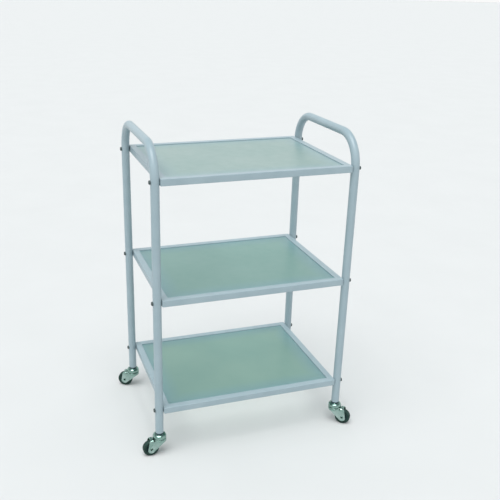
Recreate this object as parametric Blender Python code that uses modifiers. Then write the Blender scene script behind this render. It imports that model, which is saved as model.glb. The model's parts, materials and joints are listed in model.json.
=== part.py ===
"""Instrument cart: three glass shelves in welded frames, bolted between two bent-tube side frames that
roll on four swivel casters.

Metres, +Z up. The origin is on the floor under the middle of the cart. X runs along the shelves and Y
from the front (-Y) to the back (+Y). Each side frame is one tube: a leg, the push handle and a leg.
"""

import math

import bmesh
import bpy
from mathutils import Matrix, Vector

# ---------------------------------------------------------------- driving dimensions
GAP = 0.0003  # left between pieces that touch

TUBE_RADIUS = 0.0125
TUBE_WALL = 0.0012
LEG_X = 0.2975  # half the distance between the leg axes along the shelves
LEG_Y = 0.2042  # half the distance between the leg axes from front to back
LEG_BOTTOM = 0.0765
HANDLE_HEIGHT = 0.956  # of the handle's centre line
BEND_RADIUS = 0.090  # of the tube's centre line where a leg turns into the handle
BEND_STEPS = 6
TUBE_SIDES = 16

BOTTOM_SHELF_TOP = 0.1645
SHELF_PITCH = 0.355
SHELVES = ("bottom", "middle", "top")

RAIL = 0.020  # square tube
RAIL_WALL = 0.0012
FRAME_X = LEG_X - TUBE_RADIUS - GAP
FRAME_Y = LEG_Y + TUBE_RADIUS
FRAME_CORNER = 0.004
RAIL_EDGE = 0.0012

GLASS = 0.005
GLASS_RECESS = 0.003  # of the glass below the top of its frame
GLASS_CLEARANCE = 0.0008
GLASS_EDGE = 0.0007
TAB = 0.002  # thickness of the corner tabs that carry the glass
TAB_LEG = 0.032

BOLT_RADIUS = 0.003
BOLT_HEAD = 0.010  # across flats
BOLT_HEAD_HEIGHT = 0.0042
BOLT_REACH = 0.011  # into the shelf frame
BOSS_RADIUS = 0.006
BOSS_LENGTH = 0.009

WHEEL_RADIUS = 0.025
WHEEL_STEPS = 24
TYRE_WIDTH = 0.017
TYRE_SHOULDER = 0.003
TRAIL = 0.0288  # from the swivel axis back to the axle
AXLE_HEIGHT = WHEEL_RADIUS * math.cos(math.pi / WHEEL_STEPS)  # the tyre stands on one of its facets
HUB_RADIUS = 0.0150
HUB_WIDTH = 0.0190  # over its boss
HUB_BOSS = 0.0075
HUB_RIM = 0.0016
HUB_WEB = 0.0070
SLEEVE_RADIUS = 0.0048
SLEEVE_BORE = 0.0038
RIVET_RADIUS = 0.0035
RIVET_BORE = 0.0029
RIVET_HEAD_RADIUS = 0.0050
RIVET_HEAD = 0.0012

PLATE_Y = 0.0125  # outer face of a fork plate
SHEET = 0.002
CROWN_TOP = 0.0565
CROWN_EDGE = 0.005  # outer radius of the bend from the crown to a plate
CROWN_REAR = 0.036
CROWN_SHOULDER = 0.010  # radius of a fork plate's upper rear corner
FORK_FRONT = (-0.0165, 0.0470)  # (x, z) where a plate's front edge starts to slant
CUP_RADIUS = 0.0205  # of the round head pressed in the fork
CUP_EDGE = 0.0015
CUP_SKIRT = 0.0470
CUP_REACH = (0.004, 0.0165)  # how far behind the swivel axis the skirt's lower and upper edges end
RACE_RADIUS = 0.0172
RACE_RISE = 0.005  # of the ball race above the crown
PLATE_END = 0.0115  # radius of a fork plate's lower end
PLATE_END_DROP = 0.0018  # of that end's middle below the axle
SLOT_RADII = (0.0215, 0.0245)  # of the slots behind the round head, about the swivel axis
SLOT_ANGLES = (10, 46)  # degrees from the trailing direction to each side
SLOT_LOW = 0.0505  # the slots run over the bend and down the plates to here

STEM_RADIUS = 0.005
STEM_HEAD = 0.0078  # radius of the stem's riveted end
STEM_HEAD_HEIGHT = 0.0022
STEM_HOLE = 0.0060  # radius of the hole for it in the fork
STEM_TOP = 0.106
PLUG_RADIUS = (TUBE_RADIUS - TUBE_WALL) * math.cos(math.pi / TUBE_SIDES) - GAP
PLUG_TOP = 0.104
PLUG_FLANGE = 0.0050
CAP_RADIUS = 0.021
CAP_SHEET = 0.0017
CAP_FLAT = 0.0135  # radius of its flat top
CAP_LIFT = 0.0015  # of its lower edge above the crown
BALL_RADIUS = 0.0025
BALL_RING = 0.0145

TURNED_STEPS = 16
SMALL_STEPS = 12  # round small holes, bolts and the axle

# name: side in X, side in Y, direction of the trailing wheel in degrees from +X
CASTERS = {
    "front_left": (-1, -1, 183),
    "front_right": (1, -1, -39),
    "back_left": (-1, 1, 153),
    "back_right": (1, 1, 35),
}

# name: colour, roughness, metallic
FINISHES = {
    "paint": ((0.50, 0.60, 0.64), 0.35, 0.0),
    "glass": ((0.42, 0.62, 0.55), 0.15, 0.0),
    "steel": ((0.35, 0.38, 0.38), 0.35, 1.0),
    "zinc": ((0.45, 0.58, 0.54), 0.30, 1.0),
    "rubber": ((0.05, 0.09, 0.085), 0.70, 0.0),
    "plastic": ((0.06, 0.09, 0.10), 0.50, 0.0),
}


# ---------------------------------------------------------------- scene
def cleared_scene():
    """Empties the scene and returns the cart's collection and the cutters' one."""
    for old in list(bpy.data.objects):
        bpy.data.objects.remove(old, do_unlink=True)
    made = []
    for name in ("instrument_cart", "cutters"):
        collection = bpy.data.collections.new(name)
        bpy.context.scene.collection.children.link(collection)
        made.append(collection)
    return made


CART, CUTTERS = cleared_scene()


def finish(name):
    """The Principled material of this name, made on first use."""
    material = bpy.data.materials.get(name)
    if material:
        return material
    colour, roughness, metallic = FINISHES[name]
    material = bpy.data.materials.new(name)
    material.use_nodes = True
    shader = material.node_tree.nodes["Principled BSDF"]
    shader.inputs["Base Color"].default_value = (*colour, 1.0)
    shader.inputs["Roughness"].default_value = roughness
    shader.inputs["Metallic"].default_value = metallic
    material.diffuse_color = (*colour, 1.0)
    return material


def place(name, mesh, slot, location=(0, 0, 0), turn=0.0, parent=None):
    """Adds one piece of the cart. Pieces that share a shape share its mesh, and each keeps its own finish."""
    piece = bpy.data.objects.new(name, mesh)
    CART.objects.link(piece)
    piece.location = location
    piece.rotation_euler.z = turn
    piece.parent = parent
    if not mesh.materials:
        mesh.materials.append(finish(slot))
    return piece


def helper(name, mesh):
    """An object that only shapes others: a cutter, or a body to be joined on."""
    made = bpy.data.objects.new(name, mesh)
    CUTTERS.objects.link(made)
    made.hide_render = True
    made.display_type = "WIRE"
    return made


def combine(target, other, operation):
    modifier = target.modifiers.new(f"{operation.lower()} {other.name}", "BOOLEAN")
    modifier.operation = operation
    modifier.solver = "EXACT"
    modifier.object = other


def evaluated_mesh(source):
    """The mesh of a helper with its modifiers, in world space: closed, facing out and smooth where round."""
    bpy.context.view_layer.update()
    graph = bpy.context.evaluated_depsgraph_get()
    mesh = bpy.data.meshes.new_from_object(source.evaluated_get(graph))
    mesh.transform(source.matrix_world)
    shape = bmesh.new()
    shape.from_mesh(mesh)
    bmesh.ops.remove_doubles(shape, verts=shape.verts, dist=1e-6)
    bmesh.ops.recalc_face_normals(shape, faces=shape.faces)
    shape.to_mesh(mesh)
    shape.free()
    mesh.shade_smooth()
    mesh.set_sharp_from_angle(angle=math.radians(35))
    return mesh


# ---------------------------------------------------------------- shapes
def box(low, high):
    """A block between two corners, as a bmesh."""
    shape = bmesh.new()
    size = Vector(high) - Vector(low)
    middle = (Vector(high) + Vector(low)) / 2
    matrix = Matrix.Translation(middle) @ Matrix.Diagonal((*size, 1))
    bmesh.ops.create_cube(shape, size=1, matrix=matrix)
    return shape


def rod(centre, radius, length, axis="X", sides=SMALL_STEPS):
    """A cylinder about a row axis, as a bmesh."""
    quarter = math.pi / 2
    turn = {"X": Matrix.Rotation(quarter, 4, "Y"), "Y": Matrix.Rotation(quarter, 4, "X"), "Z": Matrix()}
    shape = bmesh.new()
    bmesh.ops.create_cone(
        shape,
        cap_ends=True,
        segments=sides,
        radius1=radius,
        radius2=radius,
        depth=length,
        matrix=Matrix.Translation(centre) @ turn[axis],
    )
    return shape


def meshed(name, *shapes):
    """One mesh from any number of bmeshes, which it frees."""
    mesh = bpy.data.meshes.new(name)
    whole = bmesh.new()
    for shape in shapes:
        shape.to_mesh(mesh)
        shape.free()
        whole.from_mesh(mesh)
    whole.to_mesh(mesh)
    whole.free()
    return mesh


def plate(name, outline, low, high, plane="XY"):
    """A flat outline made into a plate between two heights: a filled 2D curve, extruded. In plane XZ the
    outline's second coordinate is the height, and the plate's thickness runs along Y."""
    curve = bpy.data.curves.new(name, "CURVE")
    curve.dimensions = "2D"
    curve.fill_mode = "BOTH"
    curve.extrude = (high - low) / 2
    spline = curve.splines.new("POLY")
    spline.points.add(len(outline) - 1)
    for point, (x, y) in zip(spline.points, outline):
        point.co = (x, y, 0, 1)
    spline.use_cyclic_u = True
    made = bpy.data.objects.new(name, curve)
    CUTTERS.objects.link(made)
    if plane == "XZ":
        made.rotation_euler.x = math.pi / 2
        made.location.y = (high + low) / 2
    else:
        made.location.z = (high + low) / 2
    mesh = evaluated_mesh(made)
    bpy.data.objects.remove(made)
    return mesh


def turned(name, profile, steps=TURNED_STEPS, closed=False, lying=False):
    """A turned shape. The profile's points are (radius, height), down the outer side. A closed profile
    comes back up its bore. A lying one has its axis along Y and not Z."""
    outline = bmesh.new()
    points = [outline.verts.new((radius, 0, height)) for radius, height in profile]
    pairs = list(zip(points, points[1:]))
    if closed:
        pairs.append((points[-1], points[0]))
    for pair in pairs:
        outline.edges.new(pair)
    made = helper(name, meshed(name, outline))
    screw = made.modifiers.new("turn", "SCREW")
    screw.axis = "Z"
    screw.steps = steps
    screw.render_steps = steps
    screw.use_merge_vertices = True
    screw.merge_threshold = 0.00001
    if lying:
        # half a step round, so that a flat facet and not an edge faces down
        made.matrix_world = Matrix.Rotation(math.pi / 2, 4, "X") @ Matrix.Rotation(math.pi / steps, 4, "Z")
    mesh = evaluated_mesh(made)
    bpy.data.objects.remove(made)
    return mesh


def arc(centre, radius, start, end, steps):
    """Points along an arc, from one angle in degrees to another."""
    angles = [math.radians(start + (end - start) * step / steps) for step in range(steps + 1)]
    return [(centre[0] + radius * math.cos(a), centre[1] + radius * math.sin(a)) for a in angles]


# ---------------------------------------------------------------- side frames
def shelf_top(shelf):
    return BOTTOM_SHELF_TOP + SHELF_PITCH * SHELVES.index(shelf)


def bolt_height(shelf):
    return shelf_top(shelf) - RAIL / 2


def side_frame_path():
    """(y, z) along the tube's centre line: up the front leg, over the handle, down the back leg."""
    bend_y = LEG_Y - BEND_RADIUS
    bend_z = HANDLE_HEIGHT - BEND_RADIUS
    front = arc((-bend_y, bend_z), BEND_RADIUS, 180, 90, BEND_STEPS)
    back = arc((bend_y, bend_z), BEND_RADIUS, 90, 0, BEND_STEPS)
    return [(-LEG_Y, LEG_BOTTOM), *front, *back, (LEG_Y, LEG_BOTTOM)]


def side_frame_mesh():
    """The bent tube with its bolt holes, in the plane x = 0."""
    curve = bpy.data.curves.new("side_frame_path", "CURVE")
    curve.dimensions = "3D"
    curve.bevel_depth = TUBE_RADIUS
    curve.bevel_resolution = (TUBE_SIDES - 4) // 2
    path = side_frame_path()
    spline = curve.splines.new("POLY")
    spline.points.add(len(path) - 1)
    for point, (y, z) in zip(spline.points, path):
        point.co = (0, y, z, 1)
    line = bpy.data.objects.new("side_frame_path", curve)
    CUTTERS.objects.link(line)
    skin = evaluated_mesh(line)
    bpy.data.objects.remove(line)

    tube = helper("side_frame_tube", skin)
    wall = tube.modifiers.new("wall", "SOLIDIFY")
    wall.thickness = TUBE_WALL
    wall.offset = -1
    wall.use_even_offset = True
    holes = [
        rod((0, side * LEG_Y, bolt_height(shelf)), BOLT_RADIUS + GAP, 4 * TUBE_RADIUS)
        for side in (-1, 1)
        for shelf in SHELVES
    ]
    combine(tube, helper("side_frame_holes", meshed("side_frame_holes", *holes)), "DIFFERENCE")
    return evaluated_mesh(tube)


# ---------------------------------------------------------------- shelves
def rounded_block(low, high, corner):
    """A block with its four upright edges rounded, as a bmesh."""
    shape = box(low, high)
    upright = [
        edge
        for edge in shape.edges
        if abs((edge.verts[0].co - edge.verts[1].co).z) > (high[2] - low[2]) / 2
    ]
    bmesh.ops.bevel(shape, geom=upright, offset=corner, segments=2, profile=0.5, affect="EDGES")
    return shape


def ring_block(name, outer_x, outer_y, inner_x, inner_y, low, high, corner):
    """A rectangular ring, as a helper."""
    ring = helper(
        name, meshed(name, rounded_block((-outer_x, -outer_y, low), (outer_x, outer_y, high), corner))
    )
    middle = box((-inner_x, -inner_y, low - RAIL), (inner_x, inner_y, high + RAIL))
    combine(ring, helper(f"{name}_middle", meshed(f"{name}_middle", middle)), "DIFFERENCE")
    return ring


def corner_tabs():
    """The triangular tabs welded into the frame's four inner corners, which the glass lies on."""
    corner_x = FRAME_X - RAIL + RAIL_WALL / 2
    corner_y = FRAME_Y - RAIL + RAIL_WALL / 2
    top = -GLASS_RECESS - GLASS - GAP
    tabs = []
    for sx in (-1, 1):
        for sy in (-1, 1):
            outline = [
                (sx * corner_x, sy * corner_y),
                (sx * (corner_x - TAB_LEG), sy * corner_y),
                (sx * corner_x, sy * (corner_y - TAB_LEG)),
            ]
            tabs.append(plate("corner_tab", outline, top - TAB, top))
    return tabs


def shelf_frame_mesh():
    """One welded frame of square tube, with its top at z = 0: hollow rails, a threaded boss behind each
    bolt hole, and a tab in each inner corner."""
    inner_x = FRAME_X - RAIL
    inner_y = FRAME_Y - RAIL
    frame = ring_block("shelf_frame", FRAME_X, FRAME_Y, inner_x, inner_y, -RAIL, 0, FRAME_CORNER)
    edges = frame.modifiers.new("edges", "BEVEL")
    edges.width = RAIL_EDGE
    edges.segments = 1
    edges.limit_method = "ANGLE"
    edges.angle_limit = math.radians(60)

    hollow = ring_block(
        "shelf_frame_hollow",
        FRAME_X - RAIL_WALL,
        FRAME_Y - RAIL_WALL,
        inner_x + RAIL_WALL,
        inner_y + RAIL_WALL,
        RAIL_WALL - RAIL,
        -RAIL_WALL,
        FRAME_CORNER - RAIL_WALL,
    )
    combine(frame, hollow, "DIFFERENCE")

    corners = [(sx, sy) for sx in (-1, 1) for sy in (-1, 1)]
    boss_x = FRAME_X - RAIL_WALL / 2 - BOSS_LENGTH / 2
    bosses = [rod((sx * boss_x, sy * LEG_Y, -RAIL / 2), BOSS_RADIUS, BOSS_LENGTH) for sx, sy in corners]
    welds = meshed("shelf_frame_welds", *bosses)
    combine(frame, helper("shelf_frame_welds", welds), "UNION")
    for number, tab in enumerate(corner_tabs()):
        combine(frame, helper(f"corner_tab_{number}", tab), "UNION")

    hole_length = 4 * BOSS_LENGTH
    holes = [
        rod((sx * FRAME_X, sy * LEG_Y, -RAIL / 2), BOLT_RADIUS + GAP, hole_length) for sx, sy in corners
    ]
    combine(frame, helper("shelf_frame_holes", meshed("shelf_frame_holes", *holes)), "DIFFERENCE")
    return evaluated_mesh(frame)


def pane_mesh():
    """A glass pane with arrised edges, with the top of its frame at z = 0."""
    half_x = FRAME_X - RAIL - GLASS_CLEARANCE
    half_y = FRAME_Y - RAIL - GLASS_CLEARANCE
    low = (-half_x, -half_y, -GLASS_RECESS - GLASS)
    high = (half_x, half_y, -GLASS_RECESS)
    pane = helper("pane", meshed("pane", rounded_block(low, high, 2 * GLASS_EDGE)))
    edges = pane.modifiers.new("arris", "BEVEL")
    edges.width = GLASS_EDGE
    edges.segments = 1
    edges.limit_method = "ANGLE"
    edges.angle_limit = math.radians(60)
    return evaluated_mesh(pane)


def bolt_mesh():
    """A hexagon bolt that points along +X. Its origin is where it crosses the leg's axis."""
    head_face = -TUBE_RADIUS - GAP
    tip = TUBE_RADIUS + GAP + BOLT_REACH
    head_radius = BOLT_HEAD / 2 / math.cos(math.pi / 6)
    head_middle = (head_face - BOLT_HEAD_HEIGHT / 2, 0, 0)
    head = helper("bolt_head", meshed("bolt_head", rod(head_middle, head_radius, BOLT_HEAD_HEIGHT, sides=6)))
    start = head_face - BOLT_HEAD_HEIGHT / 2
    shank = rod(((tip + start) / 2, 0, 0), BOLT_RADIUS, tip - start)
    combine(head, helper("bolt_shank", meshed("bolt_shank", shank)), "UNION")
    return evaluated_mesh(head)


# ---------------------------------------------------------------- casters, about a swivel axis at x = y = 0
def touching_angles(centre, radius, point):
    """The angles in degrees at which the two tangents from a point touch a circle, the larger one last."""
    across = point[0] - centre[0]
    up = point[1] - centre[1]
    middle = math.degrees(math.atan2(up, across))
    spread = math.degrees(math.acos(radius / math.hypot(across, up)))
    return middle - spread, middle + spread


def fork_side_outline():
    """(x, z) round a fork plate: a slanting front edge and a steep rear edge that both run as tangents into
    a round lower end about the axle, and a round shoulder up to the crown."""
    above = CROWN_TOP + SHEET
    lower = (TRAIL, AXLE_HEIGHT - PLATE_END_DROP)
    shoulder = (CROWN_REAR - CROWN_SHOULDER, CROWN_TOP - CROWN_SHOULDER)
    start = touching_angles(lower, PLATE_END, FORK_FRONT)[1] - 360
    end = touching_angles(lower, PLATE_END, (CROWN_REAR, shoulder[1]))[0]
    return [
        (FORK_FRONT[0], above),
        FORK_FRONT,
        *arc(lower, PLATE_END, start, end, 7),
        *arc(shoulder, CROWN_SHOULDER, 0, 80, 3),
        (shoulder[0], above),
    ]


def fork_section():
    """(y, z) of the sheet's outer face: up one plate, across the crown and down the other."""
    bend = arc((PLATE_Y - CROWN_EDGE, CROWN_TOP - CROWN_EDGE), CROWN_EDGE, 0, 90, 3)
    half = [(PLATE_Y, 0), *bend]
    return [(-y, z) for y, z in half] + [(y, z) for y, z in reversed(half)]


def fork_sheet():
    """The two plates and the crown between them: a bent sheet trimmed to its side outline."""
    reach = 2 * TRAIL
    shape = bmesh.new()
    points = [shape.verts.new((-reach, y, z)) for y, z in fork_section()]
    edges = [shape.edges.new(pair) for pair in zip(points, points[1:])]
    grown = bmesh.ops.extrude_edge_only(shape, edges=edges)["geom"]
    moved = [item for item in grown if isinstance(item, bmesh.types.BMVert)]
    bmesh.ops.translate(shape, verts=moved, vec=(2 * reach, 0, 0))
    bmesh.ops.recalc_face_normals(shape, faces=shape.faces)
    if max(shape.faces, key=lambda face: face.calc_center_median().z).normal.z < 0:
        bmesh.ops.reverse_faces(shape, faces=shape.faces)
    fork = helper("fork", meshed("fork_sheet", shape))
    sheet = fork.modifiers.new("sheet", "SOLIDIFY")
    sheet.thickness = SHEET
    sheet.offset = -1
    side = plate("fork_side", fork_side_outline(), -2 * PLATE_Y, 2 * PLATE_Y, plane="XZ")
    combine(fork, helper("fork_side", side), "INTERSECT")
    return fork


def fork_cup():
    """The fork's round head: a ball race on top and a skirt round the front, whose ends slant up into the
    plates."""
    race_top = CROWN_TOP + RACE_RISE
    crown_low = CROWN_TOP - SHEET
    bore = STEM_HOLE - GAP
    profile = [
        (bore, race_top),
        (RACE_RADIUS, race_top),
        (RACE_RADIUS + CUP_EDGE / 2, CROWN_TOP),
        (CUP_RADIUS - CUP_EDGE, CROWN_TOP),
        (CUP_RADIUS, CROWN_TOP - CUP_EDGE),
        (CUP_RADIUS, CUP_SKIRT),
        (CUP_RADIUS - SHEET, CUP_SKIRT),
        (CUP_RADIUS - SHEET, crown_low),
        (bore, crown_low),
    ]
    cup = helper("fork_cup", turned("fork_cup", profile, closed=True))
    below = CUP_SKIRT - SHEET
    behind = 2 * CUP_RADIUS
    slant = (CUP_REACH[1] - CUP_REACH[0]) / (crown_low - CUP_SKIRT)
    outline = [
        (CUP_REACH[1], crown_low),
        (CUP_REACH[0] - slant * SHEET, below),
        (behind, below),
        (behind, crown_low),
    ]
    rear = plate("fork_cup_rear", outline, -behind, behind, plane="XZ")
    combine(cup, helper("fork_cup_rear", rear), "DIFFERENCE")
    return cup


def slot_cutters():
    """The two slots behind the round head, which follow it over the bends and into the plates."""
    inner, outer = SLOT_RADII
    start, end = SLOT_ANGLES
    cutters = []
    for side in (-1, 1):
        near = arc((0, 0), inner, side * start, side * end, 6)
        far = arc((0, 0), outer, side * end, side * start, 6)
        cutters.append(plate("fork_slot", near + far, SLOT_LOW, CROWN_TOP + SHEET))
    return cutters


def fork_mesh():
    """The pressed fork: plates, crown and round head in one, with its slots and its stem and axle holes."""
    fork = fork_sheet()
    combine(fork, fork_cup(), "UNION")
    stem_hole = rod((0, 0, CROWN_TOP), STEM_HOLE, 4 * RACE_RISE, axis="Z", sides=TURNED_STEPS)
    axle_hole = rod((TRAIL, 0, AXLE_HEIGHT), RIVET_RADIUS + GAP, 4 * PLATE_Y, axis="Y")
    combine(fork, helper("fork_holes", meshed("fork_holes", stem_hole, axle_hole)), "DIFFERENCE")
    for number, slot in enumerate(slot_cutters()):
        combine(fork, helper(f"fork_slot_{number}", slot), "DIFFERENCE")
    return evaluated_mesh(fork)


def stem_mesh():
    """The stem: a pin held by the plug in the leg, riveted over under the fork's crown."""
    crown_low = CROWN_TOP - SHEET - GAP
    head_low = crown_low - STEM_HEAD_HEIGHT
    profile = [
        (0, STEM_TOP),
        (STEM_RADIUS - 0.001, STEM_TOP),
        (STEM_RADIUS, STEM_TOP - 0.001),
        (STEM_RADIUS, crown_low),
        (STEM_HEAD, crown_low),
        (STEM_HEAD, head_low + 0.0010),
        (STEM_HEAD - 0.0015, head_low),
        (0, head_low),
    ]
    return turned("stem", profile)


def plug_mesh():
    """The plug pressed into the foot of a leg, with a flange that the tube's end stands on."""
    flange_top = LEG_BOTTOM - GAP
    flange_low = flange_top - PLUG_FLANGE
    bore = STEM_RADIUS + GAP
    profile = [
        (bore, PLUG_TOP),
        (PLUG_RADIUS, PLUG_TOP),
        (PLUG_RADIUS, flange_top),
        (TUBE_RADIUS, flange_top),
        (TUBE_RADIUS, flange_low),
        (bore, flange_low),
    ]
    return turned("plug", profile, closed=True)


def cap_mesh():
    """The domed upper race, a pressed cup over the balls, fixed on the stem."""
    top = LEG_BOTTOM - 2 * GAP - PLUG_FLANGE
    skirt = CROWN_TOP + CAP_LIFT
    bore = STEM_RADIUS + GAP
    outside = [
        (CAP_FLAT, top),
        (CAP_FLAT + 0.0040, top - 0.0020),
        (CAP_RADIUS - 0.0005, top - 0.0060),
        (CAP_RADIUS, skirt),
    ]
    inside = [(radius - CAP_SHEET, height - 0.0007) for radius, height in outside[2:0:-1]]
    profile = [
        (bore, top),
        *outside,
        (CAP_RADIUS - CAP_SHEET, skirt),
        *inside,
        (CAP_FLAT - 0.0015, top - CAP_SHEET),
        (bore, top - CAP_SHEET),
    ]
    return turned("cap", profile, closed=True)


def ball_ring_mesh():
    """The ring of balls between the two races, as one ring."""
    height = CROWN_TOP + RACE_RISE + GAP + BALL_RADIUS
    section = arc((BALL_RING, height), BALL_RADIUS, 90, -210, 5)
    return turned("ball_ring", section, closed=True)


def tyre_mesh():
    half = TYRE_WIDTH / 2
    corner = WHEEL_RADIUS - TYRE_SHOULDER
    bore = HUB_RADIUS + GAP
    profile = [
        (bore, half),
        *arc((corner, half - TYRE_SHOULDER), TYRE_SHOULDER, 90, 0, 2),
        *arc((corner, TYRE_SHOULDER - half), TYRE_SHOULDER, 0, -90, 2),
        (bore, -half),
    ]
    return turned("tyre", profile, steps=WHEEL_STEPS, closed=True, lying=True)


def hub_mesh():
    """The wheel's core: a rim, a web dished on both sides, and a bored boss."""
    rim_half = TYRE_WIDTH / 2 - 0.0010
    web_half = HUB_WEB / 2
    boss_half = HUB_WIDTH / 2
    bore = SLEEVE_RADIUS + GAP
    upper = [
        (bore, boss_half),
        (HUB_BOSS, boss_half),
        (HUB_BOSS + 0.0006, web_half),
        (HUB_RADIUS - HUB_RIM, web_half),
        (HUB_RADIUS, rim_half),
    ]
    profile = [*upper, *[(radius, -height) for radius, height in reversed(upper)]]
    return turned("hub", profile, steps=WHEEL_STEPS, closed=True, lying=True)


def sleeve_mesh():
    """The bush that the wheel turns on, held between the fork's plates."""
    half = PLATE_Y - SHEET - GAP
    profile = [(SLEEVE_RADIUS, half), (SLEEVE_RADIUS, -half), (SLEEVE_BORE, -half), (SLEEVE_BORE, half)]
    return turned("sleeve", profile, steps=SMALL_STEPS, closed=True, lying=True)


def rivet_mesh():
    """The axle: a tubular rivet with a head on each fork plate."""
    face = PLATE_Y + GAP
    outer = face + RIVET_HEAD
    upper = [
        (RIVET_BORE, outer - 0.0003),
        (RIVET_BORE + 0.0004, outer),
        (RIVET_HEAD_RADIUS - 0.0006, outer),
        (RIVET_HEAD_RADIUS, face),
        (RIVET_RADIUS, face),
    ]
    profile = [*upper, *[(radius, -height) for radius, height in reversed(upper)]]
    return turned("rivet", profile, steps=SMALL_STEPS, closed=True, lying=True)


# ---------------------------------------------------------------- assembly
def add_side_frames():
    mesh = side_frame_mesh()
    for name, side in (("left_side_frame", -1), ("right_side_frame", 1)):
        place(name, mesh, "paint", location=(side * LEG_X, 0, 0))


def add_shelves():
    frame = shelf_frame_mesh()
    pane = pane_mesh()
    for shelf in SHELVES:
        height = (0, 0, shelf_top(shelf))
        place(f"{shelf}_shelf_frame", frame, "paint", location=height)
        place(f"{shelf}_glass_pane", pane, "glass", location=height)


def add_shelf_bolts():
    mesh = bolt_mesh()
    for corner, (sx, sy, _) in CASTERS.items():
        turn = 0.0 if sx < 0 else math.pi
        for shelf in SHELVES:
            location = (sx * LEG_X, sy * LEG_Y, bolt_height(shelf))
            place(f"{corner}_{shelf}_bolt", mesh, "steel", location=location, turn=turn)


def add_casters():
    fixed = {
        "leg_plug": (plug_mesh(), "plastic"),
        "caster_stem": (stem_mesh(), "steel"),
        "bearing_cap": (cap_mesh(), "zinc"),
        "ball_ring": (ball_ring_mesh(), "steel"),
    }
    fork = fork_mesh()
    on_axle = {
        "axle_rivet": (rivet_mesh(), "zinc"),
        "axle_sleeve": (sleeve_mesh(), "steel"),
        "wheel_hub": (hub_mesh(), "plastic"),
        "tyre": (tyre_mesh(), "rubber"),
    }
    for corner, (sx, sy, heading) in CASTERS.items():
        foot = (sx * LEG_X, sy * LEG_Y, 0)
        for piece, (mesh, slot) in fixed.items():
            place(f"{corner}_{piece}", mesh, slot, location=foot)
        swivel = bpy.data.objects.new(f"{corner}_swivel_axis", None)
        CART.objects.link(swivel)
        swivel.location = foot
        swivel.rotation_euler.z = math.radians(heading)
        place(f"{corner}_fork", fork, "zinc", parent=swivel)
        for piece, (mesh, slot) in on_axle.items():
            place(f"{corner}_{piece}", mesh, slot, location=(TRAIL, 0, AXLE_HEIGHT), parent=swivel)


add_side_frames()
add_shelves()
add_shelf_bolts()
add_casters()
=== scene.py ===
"""The finished look of the instrument cart: smooth tubes, glass, casters, materials, light and camera.

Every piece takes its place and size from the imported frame. Metres, +Z up, front at -Y.
"""

import json
import math

import bmesh
import bpy
from mathutils import Matrix, Vector


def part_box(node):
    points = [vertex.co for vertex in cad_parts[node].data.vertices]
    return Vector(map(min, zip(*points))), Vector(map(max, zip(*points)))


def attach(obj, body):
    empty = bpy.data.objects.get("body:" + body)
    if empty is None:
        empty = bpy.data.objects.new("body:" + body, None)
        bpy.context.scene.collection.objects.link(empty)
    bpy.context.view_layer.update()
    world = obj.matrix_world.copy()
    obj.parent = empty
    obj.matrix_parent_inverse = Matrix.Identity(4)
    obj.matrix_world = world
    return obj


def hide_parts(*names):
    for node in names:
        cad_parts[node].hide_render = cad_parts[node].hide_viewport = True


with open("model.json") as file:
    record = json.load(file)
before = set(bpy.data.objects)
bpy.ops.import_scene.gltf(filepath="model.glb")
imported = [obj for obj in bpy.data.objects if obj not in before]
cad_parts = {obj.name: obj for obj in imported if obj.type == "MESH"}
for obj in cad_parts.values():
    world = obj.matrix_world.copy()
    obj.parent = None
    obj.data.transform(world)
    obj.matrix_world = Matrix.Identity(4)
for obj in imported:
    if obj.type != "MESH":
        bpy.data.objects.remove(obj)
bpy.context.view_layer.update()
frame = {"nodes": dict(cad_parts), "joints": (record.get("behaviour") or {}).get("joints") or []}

# ---------------------------------------------------------------- sizes, most of them from the frame
SIDES = ("left", "right")
SHELVES = ("bottom", "middle", "top")
CORNERS = ("front_left", "front_right", "back_left", "back_right")
JOINTS = {joint["name"]: joint for joint in frame["joints"]}

SIDE_LOW, SIDE_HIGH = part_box("right_side_frame")
TUBE_RADIUS = (SIDE_HIGH.x - SIDE_LOW.x) / 2
LEG_Y = SIDE_HIGH.y - TUBE_RADIUS
LEG_BOTTOM = SIDE_LOW.z
HANDLE_HEIGHT = SIDE_HIGH.z - TUBE_RADIUS
TUBE_WALL = 0.0012
BEND_RADIUS = 0.090  # of the handle's two bends

SHELF_LOW, SHELF_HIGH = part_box("top_shelf_frame")
RAIL = SHELF_HIGH.z - SHELF_LOW.z
PANE_LOW, PANE_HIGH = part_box("top_glass_pane")
GLASS = PANE_HIGH.z - PANE_LOW.z
GLASS_RECESS = SHELF_HIGH.z - PANE_HIGH.z
GAP = 0.0003  # between pieces that touch
CREASE = 35  # degrees; an edge sharper than this stays a crease on a smooth piece

SWIVEL = JOINTS["front_left_swivel_turn"]
ROLL = JOINTS["front_left_wheel_roll"]
AXLE_HEIGHT = ROLL["pos_m"][2]
WHEEL_RADIUS = AXLE_HEIGHT - 0.00002  # just clear of the floor
TRAIL = math.hypot(ROLL["pos_m"][0] - SWIVEL["pos_m"][0], ROLL["pos_m"][1] - SWIVEL["pos_m"][1])
CAP_LOW, CAP_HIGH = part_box("front_left_bearing_cap")
CAP_RADIUS = (CAP_HIGH.x - CAP_LOW.x) / 2
FORK_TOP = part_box("front_left_fork")[1].z  # top of its ball race
CROWN_TOP = FORK_TOP - 0.005  # top of its flat sheet
PLUG_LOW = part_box("front_left_leg_plug")[0].z

RAIL_CORNER = 0.004  # radius of a shelf frame's upright corners
RAIL_EDGE = 0.0016  # radius of a rail's long edges
TAB_LEG = 0.032  # along a rail, of the triangular tab in each corner
TAB_SHEET = 0.002
TAB_OVERLAP = 0.0004  # how far a tab runs into its rails
TAB_BEAD = (0.004, 0.026)  # where the weld along a tab's leg starts and ends, from the corner
TAB_WELD = (0.003, 9)  # width and number of ripples
MITRE_WELD = (0.0035, 12)
PANE_CORNER = 0.0015  # radius of a pane's upright corners
PANE_EDGE = 0.0008  # radius of its ground edges

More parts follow.
